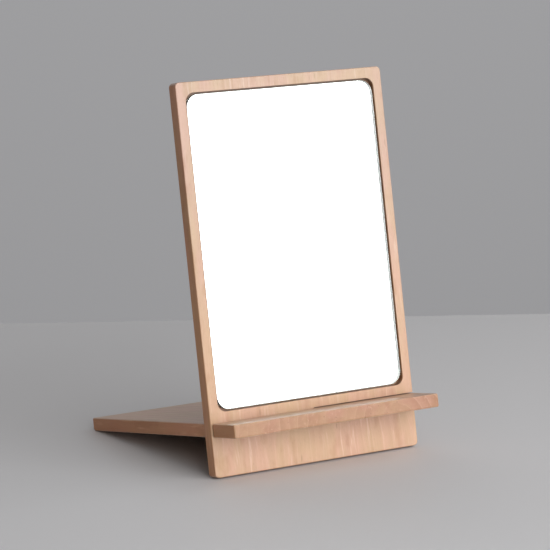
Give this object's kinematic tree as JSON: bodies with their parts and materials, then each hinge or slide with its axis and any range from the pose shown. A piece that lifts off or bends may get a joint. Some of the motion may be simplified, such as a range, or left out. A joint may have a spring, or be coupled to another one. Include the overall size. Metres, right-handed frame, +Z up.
{
  "type": "leaning table mirror",
  "caption": "Wooden panel with an inset mirror, leaning back on a board that crosses it in a half-lap: the board is a shelf in front and a leg behind.",
  "frame": {"origin": "on the table, under the centre of the whole object's outline", "axes": "+X to the right seen from the front, +Y towards the back, +Z up; the mirror faces -Y and leans back"},
  "size_m": [0.2116, 0.2614, 0.3381],
  "materials": {
    "panel_wood": "fine-sanded light hardwood with a thin satin oil finish, grain upright",
    "board_wood": "fine-sanded light hardwood with a thin satin oil finish, grain from front to back",
    "mirror_pane": "clear float glass with ground edges",
    "silvering": "silver coat behind the glass, under grey protective paint",
    "foam_tape": "white closed-cell foam tape"
  },
  "bodies": {
    "panel": {"mirror_panel": "panel_wood", "mirror_glass": "mirror_pane", "mirror_silvering": "silvering", "mounting_tape_left": "foam_tape", "mounting_tape_centre": "foam_tape", "mounting_tape_right": "foam_tape"},
    "stand": {"stand_board": "board_wood"}
  },
  "joints": [
    {"name": "stand_slide", "type": "slide", "parent": "panel", "child": "stand", "axis": [1, 0, 0], "range_m": [0, 0.23]}
  ]
}
